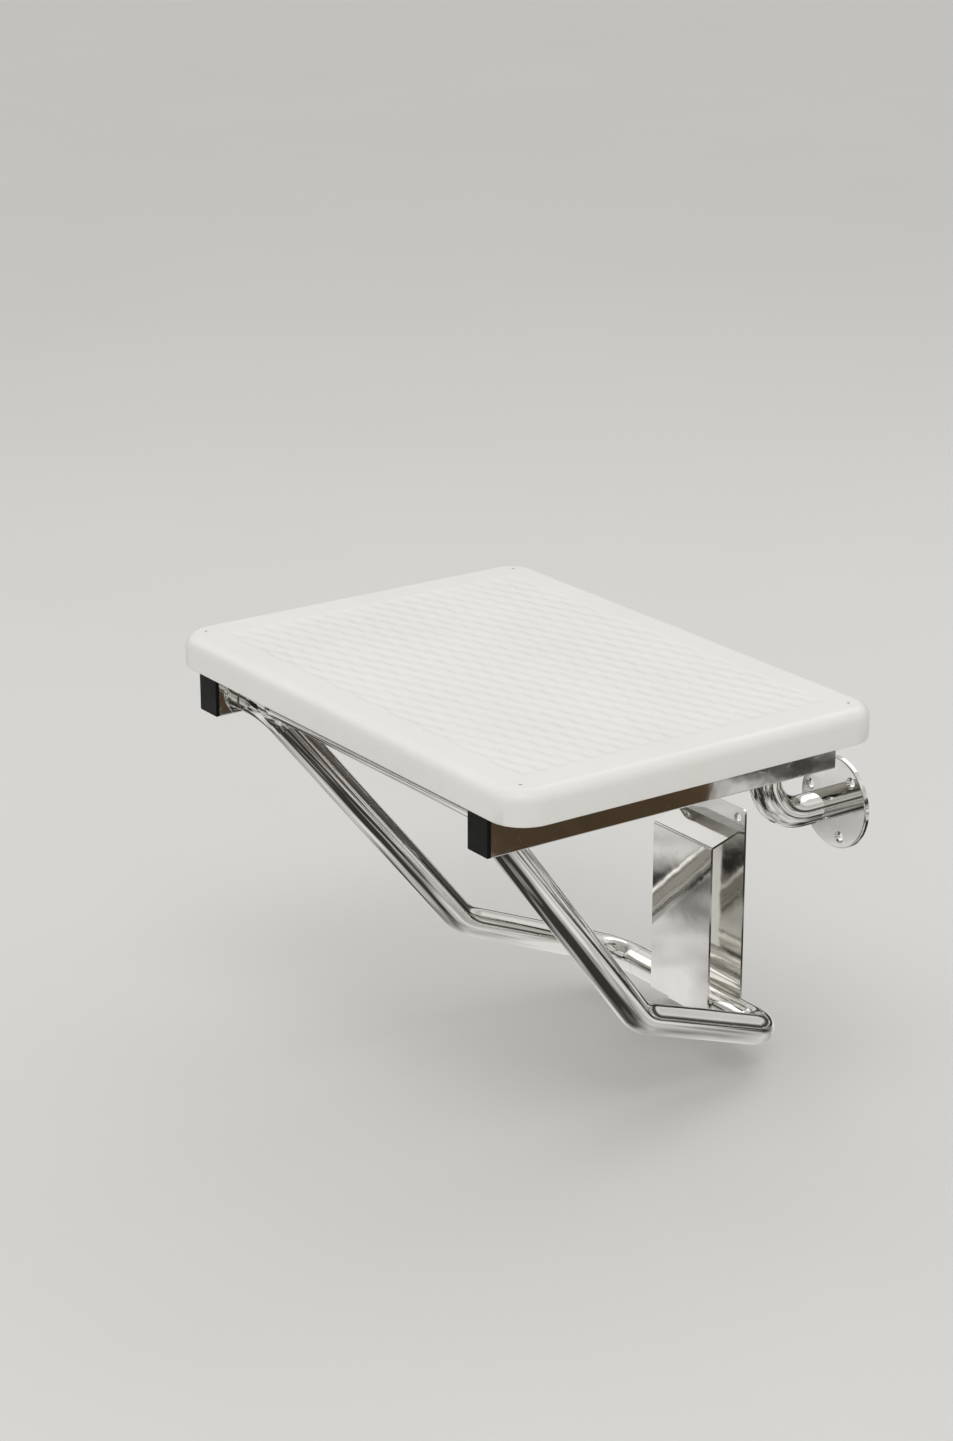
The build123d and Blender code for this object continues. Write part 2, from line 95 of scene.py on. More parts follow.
# helpers for node trees
def addSocket(tree, name, kind, way, default=None, low=None, high=None):
    socket = tree.interface.new_socket(name=name, in_out=way, socket_type=kind)
    if default is not None:
        socket.default_value = default
    if low is not None:
        socket.min_value = low
    if high is not None:
        socket.max_value = high
    return socket


def addNode(tree, kind, place, **settings):
    node = tree.nodes.new(kind)
    node.location = place
    for key, value in settings.items():
        setattr(node, key, value)
    return node


def addMath(tree, operation, first, second=None, place=(0, 0), clamp=False):
    node = addNode(tree, "ShaderNodeMath", place, operation=operation, use_clamp=clamp)
    for socket, value in zip(node.inputs, (first, second)):
        if value is None:
            continue
        if isinstance(value, (int, float)):
            socket.default_value = value
        else:
            tree.links.new(value, socket)
    return node.outputs[0]


mottleSet = {"detail": 3, "roughness": 0.6, "darkest": 0.3, "palest": 0.7}
scuffSet = {"bend": 0.012, "bendDetail": 1, "breakDetail": 2, "breakLimit": 0.75}
hairlineSet = {"detail": 2}


# soft blotches of a given size, brought into a low to high range
def makeMottleGroup(values):
    tree = bpy.data.node_groups.new("mottle", "ShaderNodeTree")
    addSocket(tree, "Vector", "NodeSocketVector", "INPUT")
    addSocket(tree, "Size", "NodeSocketFloat", "INPUT", 0.02, 0.0001, 5)
    addSocket(tree, "Low", "NodeSocketFloat", "INPUT", 0.0)
    addSocket(tree, "High", "NodeSocketFloat", "INPUT", 1.0)
    addSocket(tree, "Value", "NodeSocketFloat", "OUTPUT")
    start = addNode(tree, "NodeGroupInput", (-700, 0))
    end = addNode(tree, "NodeGroupOutput", (500, 0))
    scale = addMath(tree, "DIVIDE", 1.0, start.outputs["Size"], (-500, -150))
    noise = addNode(tree, "ShaderNodeTexNoise", (-300, 0))
    noise.inputs["Detail"].default_value = values["detail"]
    noise.inputs["Roughness"].default_value = values["roughness"]
    tree.links.new(start.outputs["Vector"], noise.inputs["Vector"])
    tree.links.new(scale, noise.inputs["Scale"])
    spread = addNode(tree, "ShaderNodeMapRange", (0, 0))
    spread.inputs["From Min"].default_value = values["darkest"]
    spread.inputs["From Max"].default_value = values["palest"]
    tree.links.new(noise.outputs["Fac"], spread.inputs["Value"])
    tree.links.new(start.outputs["Low"], spread.inputs["To Min"])
    tree.links.new(start.outputs["High"], spread.inputs["To Max"])
    tree.links.new(spread.outputs["Result"], end.inputs["Value"])
    return tree


# thin wandering scratches, 1 in a scratch and 0 beside it
def makeScuffGroup(values):
    tree = bpy.data.node_groups.new("scuffs", "ShaderNodeTree")
    addSocket(tree, "Vector", "NodeSocketVector", "INPUT")
    addSocket(tree, "Spacing", "NodeSocketFloat", "INPUT", 0.02, 0.0001, 5)
    addSocket(tree, "Width", "NodeSocketFloat", "INPUT", 0.02, 0.0001, 1)
    addSocket(tree, "Amount", "NodeSocketFloat", "INPUT", 0.5, 0.0, 1)
    addSocket(tree, "Mask", "NodeSocketFloat", "OUTPUT")
    start = addNode(tree, "NodeGroupInput", (-900, 0))
    end = addNode(tree, "NodeGroupOutput", (700, 0))
    scale = addMath(tree, "DIVIDE", 1.0, start.outputs["Spacing"], (-700, -200))
    bend = addNode(tree, "ShaderNodeTexNoise", (-700, 100))
    bend.inputs["Detail"].default_value = values["bendDetail"]
    tree.links.new(start.outputs["Vector"], bend.inputs["Vector"])
    tree.links.new(scale, bend.inputs["Scale"])
    shift = addNode(tree, "ShaderNodeVectorMath", (-500, 0), operation="MULTIPLY_ADD")
    shift.inputs[1].default_value = (values["bend"],) * 3
    tree.links.new(bend.outputs["Color"], shift.inputs[0])
    tree.links.new(start.outputs["Vector"], shift.inputs[2])
    cells = addNode(tree, "ShaderNodeTexVoronoi", (-300, 0), feature="DISTANCE_TO_EDGE")
    tree.links.new(shift.outputs[0], cells.inputs["Vector"])
    tree.links.new(scale, cells.inputs["Scale"])
    line = addMath(tree, "LESS_THAN", cells.outputs["Distance"], start.outputs["Width"], (-50, 0))
    broken = addNode(tree, "ShaderNodeTexNoise", (-300, -300))
    broken.inputs["Detail"].default_value = values["breakDetail"]
    tree.links.new(start.outputs["Vector"], broken.inputs["Vector"])
    tree.links.new(scale, broken.inputs["Scale"])
    limit = addMath(tree, "SUBTRACT", values["breakLimit"], start.outputs["Amount"], (-50, -400))
    kept = addMath(tree, "GREATER_THAN", broken.outputs["Fac"], limit, (150, -300))
    both = addMath(tree, "MULTIPLY", line, kept, (350, -100))
    tree.links.new(both, end.inputs["Mask"])
    return tree


# very fine parallel lines left by polishing, along the piece's X
def makeHairlineGroup(values):
    tree = bpy.data.node_groups.new("hairlines", "ShaderNodeTree")
    addSocket(tree, "Vector", "NodeSocketVector", "INPUT")
    addSocket(tree, "Pitch", "NodeSocketFloat", "INPUT", 0.0004, 0.00001, 1)
    addSocket(tree, "Length", "NodeSocketFloat", "INPUT", 0.03, 0.0001, 1)
    addSocket(tree, "Height", "NodeSocketFloat", "OUTPUT")
    start = addNode(tree, "NodeGroupInput", (-900, 0))
    end = addNode(tree, "NodeGroupOutput", (500, 0))
    fine = addMath(tree, "DIVIDE", 1.0, start.outputs["Pitch"], (-700, 100))
    slow = addMath(tree, "DIVIDE", 1.0, start.outputs["Length"], (-700, -100))
    scale = addNode(tree, "ShaderNodeCombineXYZ", (-500, 0))
    tree.links.new(slow, scale.inputs["X"])
    tree.links.new(fine, scale.inputs["Y"])
    tree.links.new(fine, scale.inputs["Z"])
    stretched = addNode(tree, "ShaderNodeVectorMath", (-300, 0), operation="MULTIPLY")
    tree.links.new(start.outputs["Vector"], stretched.inputs[0])
    tree.links.new(scale.outputs[0], stretched.inputs[1])
    noise = addNode(tree, "ShaderNodeTexNoise", (-100, 0))
    noise.inputs["Scale"].default_value = 1.0
    noise.inputs["Detail"].default_value = values["detail"]
    tree.links.new(stretched.outputs[0], noise.inputs["Vector"])
    tree.links.new(noise.outputs["Fac"], end.inputs["Height"])
    return tree


mottleGroup = makeMottleGroup(mottleSet)
scuffGroup = makeScuffGroup(scuffSet)
hairlineGroup = makeHairlineGroup(hairlineSet)
print("shared groups built")


# finishes
def useGroup(tree, group, place, vector, **values):
    node = addNode(tree, "ShaderNodeGroup", place, node_tree=group)
    tree.links.new(vector, node.inputs["Vector"])
    for key, value in values.items():
        node.inputs[key].default_value = value
    return node.outputs[0]


def startMaterial(name):
    material = bpy.data.materials.new(name)
    material.use_nodes = True
    tree = material.node_tree
    tree.nodes.clear()
    out = addNode(tree, "ShaderNodeOutputMaterial", (1100, 0))
    shader = addNode(tree, "ShaderNodeBsdfPrincipled", (800, 0))
    tree.links.new(shader.outputs[0], out.inputs["Surface"])
    place = addNode(tree, "ShaderNodeTexCoord", (-900, 0))
    return material, tree, shader, place.outputs["Object"]


def blendColours(tree, mask, first, second, place):
    mix = addNode(tree, "ShaderNodeMix", place, data_type="RGBA")
    mix.inputs[6].default_value = (*first, 1)
    mix.inputs[7].default_value = (*second, 1)
    tree.links.new(mask, mix.inputs[0])
    return mix.outputs[2]


def addBump(tree, height, distance, strength, place, below=None):
    bump = addNode(tree, "ShaderNodeBump", place)
    bump.inputs["Distance"].default_value = distance
    bump.inputs["Strength"].default_value = strength
    tree.links.new(height, bump.inputs["Height"])
    if below is not None:
        tree.links.new(below, bump.inputs["Normal"])
    return bump.outputs["Normal"]


def addScuffs(tree, where, values):
    return useGroup(
        tree, scuffGroup, (-500, -200), where,
        Spacing=values["scuffSpacing"], Width=values["scuffWidth"], Amount=values["scuffAmount"],
    )


def addRoughness(tree, shader, where, scuffs, values):
    cloudy = useGroup(
        tree, mottleGroup, (-500, 50), where,
        Size=values["hazeSize"], Low=values["smooth"], High=values["rough"],
    )
    duller = addMath(tree, "MULTIPLY", scuffs, values["scuffDull"], (-200, -100))
    total = addMath(tree, "ADD", cloudy, duller, (0, 0), clamp=True)
    tree.links.new(total, shader.inputs["Roughness"])


def makeMetal(name, values):
    material, tree, shader, where = startMaterial(name)
    shader.inputs["Metallic"].default_value = 1.0
    tone = useGroup(tree, mottleGroup, (-500, 300), where, Size=values["toneSize"])
    colour = blendColours(tree, tone, values["colour"], values["tint"], (-200, 300))
    tree.links.new(colour, shader.inputs["Base Color"])
    addRoughness(tree, shader, where, addScuffs(tree, where, values), values)
    wavy = useGroup(tree, mottleGroup, (-500, -450), where, Size=values["waveSize"])
    lines = useGroup(
        tree, hairlineGroup, (-500, -650), where,
        Pitch=values["linePitch"], Length=values["lineLength"],
    )
    waves = addBump(tree, wavy, values["waveDepth"], 1.0, (-100, -450))
    normal = addBump(tree, lines, values["lineDepth"], 1.0, (200, -550), waves)
    tree.links.new(normal, shader.inputs["Normal"])
    return material


def makePlastic(name, values):
    material, tree, shader, where = startMaterial(name)
    shader.inputs["Specular IOR Level"].default_value = values["shine"]
    tone = useGroup(tree, mottleGroup, (-500, 300), where, Size=values["toneSize"])
    colour = blendColours(tree, tone, values["colour"], values["tint"], (-200, 300))
    scuffs = addScuffs(tree, where, values)
    faint = addMath(tree, "MULTIPLY", scuffs, values["scuffTint"], (-200, 100))
    worn = addNode(tree, "ShaderNodeMix", (100, 250), data_type="RGBA")
    tree.links.new(faint, worn.inputs[0])
    tree.links.new(colour, worn.inputs[6])
    worn.inputs[7].default_value = (*values["scuffColour"], 1)
    tree.links.new(worn.outputs[2], shader.inputs["Base Color"])
    addRoughness(tree, shader, where, scuffs, values)
    grain = useGroup(tree, mottleGroup, (-500, -450), where, Size=values["grainSize"])
    sink = useGroup(tree, mottleGroup, (-500, -650), where, Size=values["sinkSize"])
    hollows = addBump(tree, sink, values["sinkDepth"], 1.0, (-100, -650))
    normal = addBump(tree, grain, values["grainDepth"], 1.0, (200, -450), hollows)
    tree.links.new(normal, shader.inputs["Normal"])
    return material


tubeSteelSet = {
    "colour": (0.80, 0.79, 0.765), "tint": (0.70, 0.69, 0.665), "toneSize": 0.09,
    "smooth": 0.03, "rough": 0.07, "hazeSize": 0.035,
    "scuffSpacing": 0.012, "scuffWidth": 0.012, "scuffAmount": 0.18, "scuffDull": 0.12,
    "waveSize": 0.05, "waveDepth": 0.00006,
    "linePitch": 0.0006, "lineLength": 0.02, "lineDepth": 0.000004,
}
sheetSteelSet = {
    "colour": (0.80, 0.79, 0.765), "tint": (0.71, 0.70, 0.675), "toneSize": 0.07,
    "smooth": 0.035, "rough": 0.085, "hazeSize": 0.03,
    "scuffSpacing": 0.01, "scuffWidth": 0.012, "scuffAmount": 0.2, "scuffDull": 0.14,
    "waveSize": 0.06, "waveDepth": 0.0001,
    "linePitch": 0.0005, "lineLength": 0.03, "lineDepth": 0.000004,
}
boltSteelSet = {
    "colour": (0.62, 0.61, 0.59), "tint": (0.50, 0.49, 0.47), "toneSize": 0.006,
    "smooth": 0.18, "rough": 0.34, "hazeSize": 0.004,
    "scuffSpacing": 0.003, "scuffWidth": 0.012, "scuffAmount": 0.3, "scuffDull": 0.15,
    "waveSize": 0.01, "waveDepth": 0.00002,
    "linePitch": 0.0003, "lineLength": 0.004, "lineDepth": 0.000008,
}
seatPlasticSet = {
    "colour": (0.85, 0.84, 0.815), "tint": (0.825, 0.81, 0.78), "toneSize": 0.12, "shine": 0.5,
    "smooth": 0.30, "rough": 0.42, "hazeSize": 0.05,
    "scuffSpacing": 0.02, "scuffWidth": 0.01, "scuffAmount": 0.16, "scuffDull": 0.12,
    "scuffTint": 0.18, "scuffColour": (0.62, 0.60, 0.56),
    "grainSize": 0.0007, "grainDepth": 0.000012, "sinkSize": 0.05, "sinkDepth": 0.00012,
}
blackPlasticSet = {
    "colour": (0.004, 0.004, 0.004), "tint": (0.007, 0.007, 0.0066), "toneSize": 0.02, "shine": 0.12,
    "smooth": 0.30, "rough": 0.46, "hazeSize": 0.01,
    "scuffSpacing": 0.008, "scuffWidth": 0.01, "scuffAmount": 0.25, "scuffDull": 0.12,
    "scuffTint": 0.25, "scuffColour": (0.03, 0.03, 0.029),
    "grainSize": 0.0006, "grainDepth": 0.00003, "sinkSize": 0.02, "sinkDepth": 0.00006,
}
nylonSet = {
    "colour": (0.74, 0.73, 0.69), "tint": (0.66, 0.645, 0.60), "toneSize": 0.012, "shine": 0.4,
    "smooth": 0.42, "rough": 0.58, "hazeSize": 0.006,
    "scuffSpacing": 0.004, "scuffWidth": 0.01, "scuffAmount": 0.2, "scuffDull": 0.12,
    "scuffTint": 0.2, "scuffColour": (0.4, 0.39, 0.36),
    "grainSize": 0.0005, "grainDepth": 0.00002, "sinkSize": 0.01, "sinkDepth": 0.00003,
}

tubeSteel = makeMetal("polishedTube", tubeSteelSet)
sheetSteel = makeMetal("polishedSheet", sheetSteelSet)
boltSteel = makeMetal("boltSteel", boltSteelSet)
seatPlastic = makePlastic("seatPlastic", seatPlasticSet)
blackPlastic = makePlastic("blackPlastic", blackPlasticSet)
nylonPlastic = makePlastic("nylonPlastic", nylonSet)

finishOf = {
    tubeSteel: (
        "right_arm_tube", "left_arm_tube", "right_leg_tube", "left_leg_tube", "cross_tube",
        "front_axle", "arm_top_plugs", "right_side_rail", "left_side_rail",
    ),
    sheetSteel: ("right_wall_flange", "left_wall_flange", "guide_wall_plate", "guide_hood"),
    boltSteel: ("seat_screws", "hinge_bolts", "hinge_blocks"),
    seatPlastic: ("seat_panel", "seat_base"),
    blackPlastic: ("rail_front_caps", "rail_rear_plugs", "axle_blocks", "cross_tube_plugs"),
    nylonPlastic: ("hinge_bushes", "hinge_washers", "leg_washers", "leg_pivot_bushes"),
}
for material, names in finishOf.items():
    for name in names:
        nodes[name].data.materials.clear()
        nodes[name].data.materials.append(material)
print("finishes on the steel and plastic parts")


# seat moulding: the moulded body with a fine grid in place of its flat top, then the grip pattern
seatLow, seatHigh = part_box("seat_panel")
seatSet = {
    "planRadius": 0.028,
    "gridInset": 0.019,  # where plain rings take over from the grid
    "lastInset": 0.0104,  # last ring, just inside the edge rounding
    "rings": 4,
    "stepAlong": 0.0025,
    "stepAcross": 0.00125,
    "weld": 0.000002,
    "flatWithin": 0.00001,
    "topBand": 0.0002,
    "sharpFrom": 35,
}
gripSet = {
    "Pitch Along": 0.043,
    "Pitch Across": 0.015,
    "Depth": 0.0012,
    "Half Length": 0.2025,
    "Half Width": 0.1440,
    "Fade": 0.005,
}


# grid over the middle and rings out to the rounded outline, all on the top plane
def addTopGrid(work, values):
    halfX, halfY = (seatHigh.x - seatLow.x) / 2, (seatHigh.y - seatLow.y) / 2
    midY = (seatHigh.y + seatLow.y) / 2
    gridX, gridY = halfX - values["gridInset"], halfY - values["gridInset"]
    countX = round(2 * gridX / values["stepAlong"])
    countY = round(2 * gridY / values["stepAcross"])
    cornerX, cornerY = halfX - values["planRadius"], halfY - values["planRadius"]

    def outward(x, y, inset):
        radius = values["planRadius"] - inset
        aside, along = max(abs(x) - cornerX, 0), max(abs(y) - cornerY, 0)
        if aside and along:
            length = math.hypot(aside, along)
            px = cornerX + radius * aside / length
            py = cornerY + radius * along / length
            return math.copysign(px, x), math.copysign(py, y)
        if abs(x) >= gridX - 1e-9:
            return math.copysign(halfX - inset, x), y
        return x, math.copysign(halfY - inset, y)

    rows = []
    for j in range(countY + 1):
        y = -gridY + 2 * gridY * j / countY
        line = [-gridX + 2 * gridX * i / countX for i in range(countX + 1)]
        rows.append([work.verts.new((x, midY + y, seatHigh.z)) for x in line])
    for lower, upper in zip(rows, rows[1:]):
        for i in range(countX):
            work.faces.new((lower[i], lower[i + 1], upper[i + 1], upper[i]))
    right, left = [row[-1] for row in rows[:-1]], [row[0] for row in rows[:0:-1]]
    last = rows[0][:-1] + right + rows[-1][:0:-1] + left
    flat = [(vert.co.x, vert.co.y - midY) for vert in last]
    for k in range(1, values["rings"] + 1):
        inset = values["gridInset"] + (values["lastInset"] - values["gridInset"]) * k / values["rings"]
        ring = []
        for x, y in flat:
            px, py = outward(x, y, inset)
            ring.append(work.verts.new((px, midY + py, seatHigh.z)))
        for n in range(len(ring)):
            m = (n + 1) % len(ring)
            work.faces.new((last[n], ring[n], ring[m], last[m]))
        last = ring
    return last


def buildSeatTop(name, values):
    def onTop(element):
        return all(vert.co.z > seatHigh.z - values["flatWithin"] for vert in element.verts)

    work = bmesh.new()
    work.from_mesh(nodes["seat_panel"].data)
    bmesh.ops.remove_doubles(work, verts=work.verts, dist=values["weld"])
    top = [face for face in work.faces if onTop(face)]
    bmesh.ops.delete(work, geom=top, context="FACES")
    rim = [edge for edge in work.edges if len(edge.link_faces) == 1 and onTop(edge)]
    ring = addTopGrid(work, values)
    inner = [work.edges.get((ring[n], ring[(n + 1) % len(ring)])) for n in range(len(ring))]
    bmesh.ops.triangle_fill(work, edges=rim + inner, use_beauty=True)
    for face in work.faces:
        if onTop(face):
            face.normal_update()
            if face.normal.z < 0:
                face.normal_flip()
    print("open edges in the seat top:", sum(1 for edge in work.edges if len(edge.link_faces) != 2))
    mesh = bpy.data.meshes.new(name)
    work.to_mesh(mesh)
    work.free()
    piece = bpy.data.objects.new(name, mesh)
    scene.collection.objects.link(piece)
    return piece


# staggered long bumps: the product of two cosines, sunk below the top and faded at the border
def makeGripTree(material):
    tree = bpy.data.node_groups.new("gripPattern", "GeometryNodeTree")
    addSocket(tree, "Geometry", "NodeSocketGeometry", "INPUT")
    for name in (*gripSet, "Middle", "Lowest"):
        addSocket(tree, name, "NodeSocketFloat", "INPUT", 0.01)
    addSocket(tree, "Geometry", "NodeSocketGeometry", "OUTPUT")
    start = addNode(tree, "NodeGroupInput", (-1500, 0))
    end = addNode(tree, "NodeGroupOutput", (1300, 0))
    place = addNode(tree, "GeometryNodeInputPosition", (-1500, -400))
    split = addNode(tree, "ShaderNodeSeparateXYZ", (-1300, -400))
    tree.links.new(place.outputs[0], split.inputs[0])
    across = addMath(tree, "SUBTRACT", split.outputs["Y"], start.outputs["Middle"], (-1100, -500))

    def cosine(value, pitch, spot):
        turns = addMath(tree, "DIVIDE", value, pitch, (spot[0], spot[1]))
        angle = addMath(tree, "MULTIPLY", turns, 2 * math.pi, (spot[0] + 180, spot[1]))
        return addMath(tree, "COSINE", angle, None, (spot[0] + 360, spot[1]))

    def fade(value, half, spot):
        away = addMath(tree, "ABSOLUTE", value, None, (spot[0], spot[1]))
        left = addMath(tree, "SUBTRACT", half, away, (spot[0] + 180, spot[1]))
        share = addNode(tree, "ShaderNodeMapRange", (spot[0] + 360, spot[1]))
        share.interpolation_type = "SMOOTHSTEP"
        tree.links.new(left, share.inputs["Value"])
        tree.links.new(start.outputs["Fade"], share.inputs["From Max"])
        return share.outputs["Result"]

    long = cosine(split.outputs["X"], start.outputs["Pitch Along"], (-900, -300))
    short = cosine(across, start.outputs["Pitch Across"], (-900, -500))
    wave = addMath(tree, "MULTIPLY", long, short, (-300, -400))
    raised = addMath(tree, "SUBTRACT", wave, 1.0, (-100, -400))
    halved = addMath(tree, "MULTIPLY", raised, 0.5, (50, -400))
    deep = addMath(tree, "MULTIPLY", halved, start.outputs["Depth"], (200, -400))
    maskX = fade(split.outputs["X"], start.outputs["Half Length"], (-900, -750))
    maskY = fade(across, start.outputs["Half Width"], (-900, -950))
    onTop = addMath(tree, "GREATER_THAN", split.outputs["Z"], start.outputs["Lowest"], (-300, -1150))
    mask = addMath(tree, "MULTIPLY", maskX, maskY, (-100, -800))
    mask = addMath(tree, "MULTIPLY", mask, onTop, (100, -800))
    drop = addMath(tree, "MULTIPLY", deep, mask, (400, -500))
    shift = addNode(tree, "ShaderNodeCombineXYZ", (600, -500))
    tree.links.new(drop, shift.inputs["Z"])
    move = addNode(tree, "GeometryNodeSetPosition", (800, 0))
    tree.links.new(start.outputs["Geometry"], move.inputs["Geometry"])
    tree.links.new(shift.outputs[0], move.inputs["Offset"])
    real = addNode(tree, "GeometryNodeRealizeInstances", (950, 0))
    paint = addNode(tree, "GeometryNodeSetMaterial", (1100, 0))
    paint.inputs["Material"].default_value = material
    tree.links.new(move.outputs[0], real.inputs[0])
    tree.links.new(real.outputs[0], paint.inputs["Geometry"])
    tree.links.new(paint.outputs[0], end.inputs[0])
    return tree


def bakeNodes(piece, tree, values):
    modifier = piece.modifiers.new(tree.name, "NODES")
    modifier.node_group = tree
    for item in tree.interface.items_tree:
        if item.item_type == "SOCKET" and item.in_out == "INPUT" and item.name in values:
            modifier[item.identifier] = values[item.name]
    bpy.context.view_layer.update()
    ready = piece.evaluated_get(bpy.context.evaluated_depsgraph_get())
    mesh = bpy.data.meshes.new_from_object(ready)
    piece.modifiers.clear()
    piece.data = mesh
    return piece


seatTop = buildSeatTop("seatTop", seatSet)
topMiddle, topLowest = (seatHigh.y + seatLow.y) / 2, seatHigh.z - seatSet["topBand"]
gripValues = dict(gripSet, Middle=topMiddle, Lowest=topLowest)
bakeNodes(seatTop, makeGripTree(seatPlastic), gripValues)
seatTop.data.shade_smooth()
seatTop.data.set_sharp_from_angle(angle=math.radians(seatSet["sharpFrom"]))
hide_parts("seat_panel")
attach(seatTop, "seat")
print("seat top", len(seatTop.data.polygons), "faces")


# floor, painted reflection cards and lamps
stageSet = {
    "floorSize": 30.0,
    "floorDrop": 0.0008,
    "floorColour": (0.74, 0.735, 0.72),
    "floorDim": 0.98,
    "toneSize": 0.6,
    "roughSize": 0.2,
    "smooth": 0.6,
    "rough": 0.7,
    # painted reflection: what polished steel sees of the floor, a glow with dark and bright patches in
    # place of its lit colour
    "floorMirrored": ((0.045, 0.042, 0.038), (0.90, 0.89, 0.87)),
    "reflectionPatchSize": 0.30,
    "reflectionPatchLow": -0.7,
    "reflectionPatchHigh": 1.7,
    "ambient": (0.93, 0.92, 0.90),
    "ambientPower": 0.78,
    "mirrorPower": 1.0,
    # painted reflection bands by height of the look, from straight down to straight up
    "mirrorStops": (
        (0.0, (0.55, 0.54, 0.52)),
        (0.46, (0.25, 0.235, 0.215)),
        (0.51, (0.05, 0.045, 0.04)),
        (0.57, (0.12, 0.11, 0.10)),
        (0.61, (0.80, 0.79, 0.77)),
        (0.72, (0.55, 0.54, 0.52)),
        (0.80, (0.95, 0.94, 0.92)),
        (1.0, (0.5, 0.49, 0.47)),
    ),
}
# painted reflections: glowing cards, one brown and two dark, that only polished steel mirrors
reflectionCardSet = {
    # name: corners, colour
    "brownReflectionCard": (
        ((0.459, 0.05, -0.098), (0.92, 0.05, -0.098), (0.92, 0.05, 0.13), (0.459, 0.05, 0.13)),
        (0.088, 0.060, 0.036),
    ),
    "darkReflectionCard": (
        ((-1.3, -1.9, -0.09), (-0.5, -2.3, -0.09), (-0.5, -2.3, 0.75), (-1.3, -1.9, 0.75)),
        (0.02, 0.018, 0.016),
    ),
    "sideReflectionCard": (
        ((2.2, 0.5, -0.09), (2.2, 1.1, -0.09), (2.2, 1.1, 1.0), (2.2, 0.5, 1.0)),
        (0.03, 0.027, 0.023),
    ),
}
reflectionStreakSet = {"stretch": (1.5, 1.5, 60), "size": 1.0, "dim": 0.72}
lampSet = {
    # name: place, size, power
    "keyLamp": ((1.0, -1.2, 2.4), (1.5, 1.1), 13.0),
    "fillLamp": ((-1.9, -0.9, 1.5), (1.2, 1.2), 3.5),
    "backLamp": ((-0.5, 1.6, 1.9), (1.8, 0.7), 6.0),
}
lampAim = (0.0, -0.2, 0.2)


def addPiece(name, corners):
    mesh = bpy.data.meshes.new(name)
    mesh.from_pydata(corners, [], [(0, 1, 2, 3)])
    piece = bpy.data.objects.new(name, mesh)
    scene.collection.objects.link(piece)
    return piece


def makeFloor(values):
    half = values["floorSize"] / 2
    z = cadLow.z - values["floorDrop"]
    floor = addPiece("floor", [(-half, -half, z), (half, -half, z), (half, half, z), (-half, half, z)])
    material, tree, shader, where = startMaterial("paleFloor")
    tone = useGroup(tree, mottleGroup, (-500, 200), where, Size=values["toneSize"])
    low = tuple(v * values["floorDim"] for v in values["floorColour"])
    colour = blendColours(tree, tone, values["floorColour"], low, (-200, 200))
    tree.links.new(colour, shader.inputs["Base Color"])
    rough = useGroup(
        tree, mottleGroup, (-500, 0), where,
        Size=values["roughSize"], Low=values["smooth"], High=values["rough"],
    )
    tree.links.new(rough, shader.inputs["Roughness"])
    # painted reflection: dark and bright patches that glow for glossy rays only
    reflectedPatches = useGroup(
        tree, mottleGroup, (-500, -300), where,
        Size=values["reflectionPatchSize"], Low=values["reflectionPatchLow"], High=values["reflectionPatchHigh"],
    )
    reflectionGlow = addNode(tree, "ShaderNodeEmission", (800, -300))
    mirrored = blendColours(tree, reflectedPatches, *values["floorMirrored"], (-200, -300))
    tree.links.new(mirrored, reflectionGlow.inputs["Color"])
    path = addNode(tree, "ShaderNodeLightPath", (800, 400))
    mix = addNode(tree, "ShaderNodeMixShader", (1000, -150))
    tree.links.new(path.outputs["Is Glossy Ray"], mix.inputs[0])
    tree.links.new(shader.outputs[0], mix.inputs[1])
    tree.links.new(reflectionGlow.outputs[0], mix.inputs[2])
    tree.links.new(mix.outputs[0], tree.nodes["Material Output"].inputs["Surface"])
    floor.data.materials.append(material)


# painted reflection: a glowing card, seen only in mirror-like surfaces
def makeReflectionCard(name, corners, colour, values):
    card = addPiece(name, corners)
    material = bpy.data.materials.new(name)
    material.use_nodes = True
    tree = material.node_tree
    tree.nodes.clear()
    out = addNode(tree, "ShaderNodeOutputMaterial", (600, 0))
    reflectionGlow = addNode(tree, "ShaderNodeEmission", (400, 0))
    place = addNode(tree, "ShaderNodeTexCoord", (-600, 0))
    grain = addNode(tree, "ShaderNodeMapping", (-400, 0))
    grain.inputs["Scale"].default_value = values["stretch"]
    tree.links.new(place.outputs["Object"], grain.inputs["Vector"])
    tone = useGroup(tree, mottleGroup, (-200, 0), grain.outputs[0], Size=values["size"])
    darker = tuple(v * values["dim"] for v in colour)
    tree.links.new(blendColours(tree, tone, colour, darker, (100, 0)), reflectionGlow.inputs["Color"])
    tree.links.new(reflectionGlow.outputs[0], out.inputs["Surface"])
    card.data.materials.append(material)
    card.visible_camera = False
    card.visible_diffuse = False
    card.visible_shadow = False
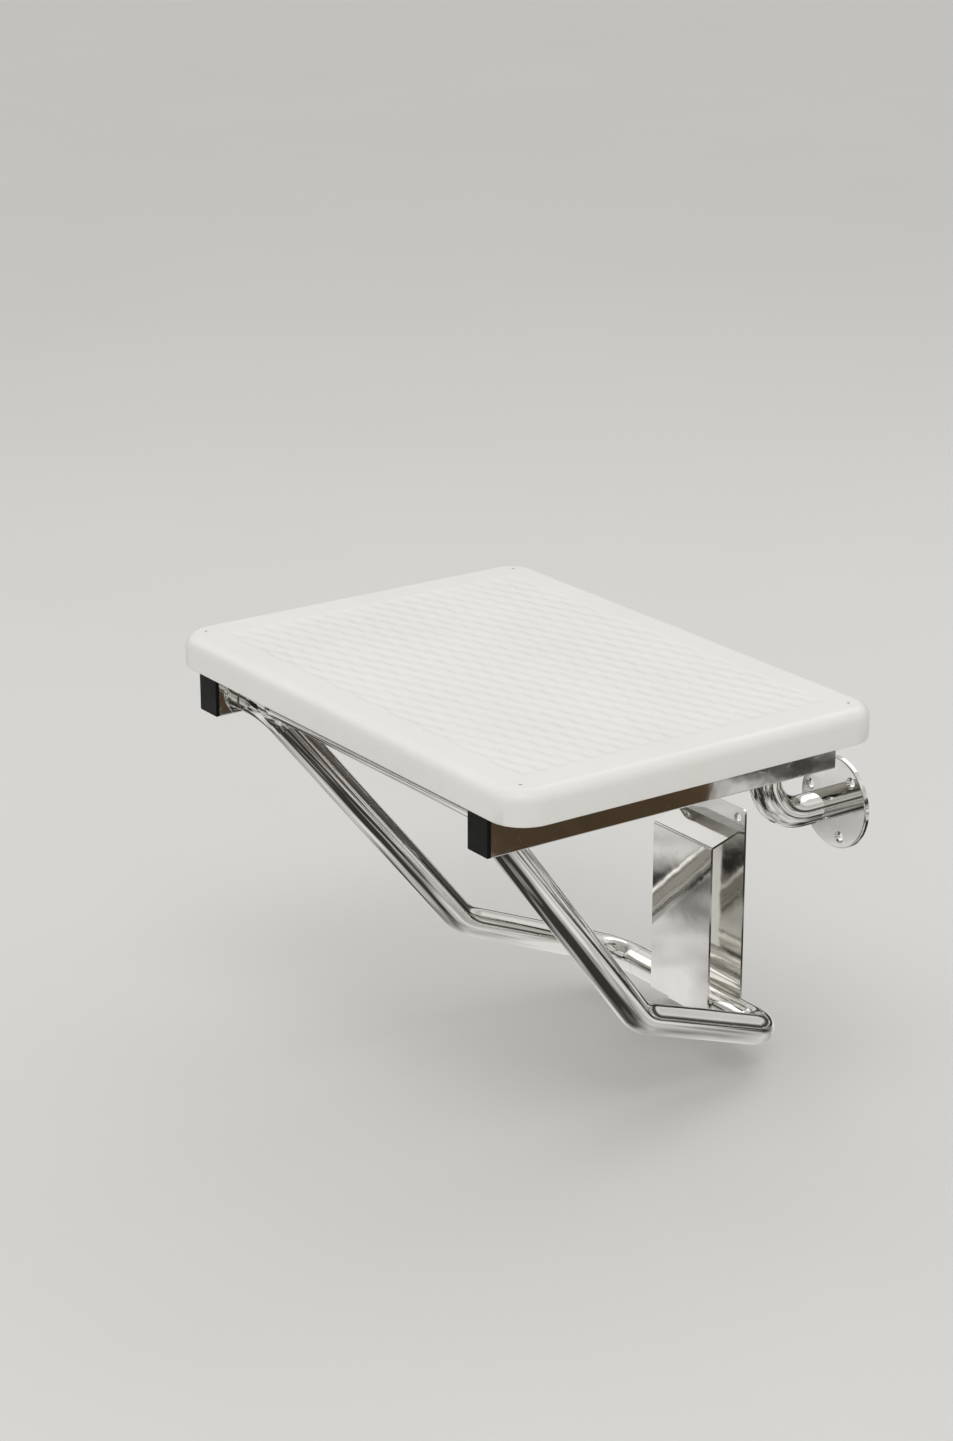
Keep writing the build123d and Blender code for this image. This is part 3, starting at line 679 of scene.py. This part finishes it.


# even light for the scene, and a painted reflection for polished steel: glossy rays see a banded sky
# that lights nothing
def makeSky(values):
    world = bpy.data.worlds.new("studioSky")
    world.use_nodes = True
    tree = world.node_tree
    tree.nodes.clear()
    out = addNode(tree, "ShaderNodeOutputWorld", (900, 0))
    even = addNode(tree, "ShaderNodeBackground", (400, 150))
    even.inputs["Color"].default_value = (*values["ambient"], 1)
    even.inputs["Strength"].default_value = values["ambientPower"]
    banded = addNode(tree, "ShaderNodeBackground", (400, -100))
    banded.inputs["Strength"].default_value = values["mirrorPower"]
    place = addNode(tree, "ShaderNodeTexCoord", (-800, 0))
    split = addNode(tree, "ShaderNodeSeparateXYZ", (-600, 0))
    tree.links.new(place.outputs["Generated"], split.inputs[0])
    share = addNode(tree, "ShaderNodeMapRange", (-400, 0))
    share.inputs["From Min"].default_value = -1
    tree.links.new(split.outputs["Z"], share.inputs["Value"])
    ramp = addNode(tree, "ShaderNodeValToRGB", (-200, 0))
    stops = ramp.color_ramp.elements
    wanted = values["mirrorStops"]
    stops[0].position, stops[0].color = wanted[0][0], (*wanted[0][1], 1)
    stops[1].position, stops[1].color = wanted[-1][0], (*wanted[-1][1], 1)
    for spot, colour in wanted[1:-1]:
        stops.new(spot).color = (*colour, 1)
    tree.links.new(share.outputs["Result"], ramp.inputs["Fac"])
    tree.links.new(ramp.outputs["Color"], banded.inputs["Color"])
    path = addNode(tree, "ShaderNodeLightPath", (400, 450))
    mix = addNode(tree, "ShaderNodeMixShader", (700, 0))
    tree.links.new(path.outputs["Is Glossy Ray"], mix.inputs[0])
    tree.links.new(even.outputs[0], mix.inputs[1])
    tree.links.new(banded.outputs[0], mix.inputs[2])
    tree.links.new(mix.outputs[0], out.inputs["Surface"])
    scene.world = world


def makeLamp(name, place, size, power):
    data = bpy.data.lights.new(name, "AREA")
    data.shape = "RECTANGLE"
    data.size, data.size_y = size
    data.energy = power
    lamp = bpy.data.objects.new(name, data)
    lamp.location = place
    lamp.rotation_mode = "QUATERNION"
    lamp.rotation_quaternion = (Vector(lampAim) - Vector(place)).to_track_quat("-Z", "Y")
    scene.collection.objects.link(lamp)


makeFloor(stageSet)
for name, (corners, colour) in reflectionCardSet.items():
    makeReflectionCard(name, corners, colour, reflectionStreakSet)
makeSky(stageSet)
for name, (place, size, power) in lampSet.items():
    makeLamp(name, place, size, power)
print("stage and lamps set")
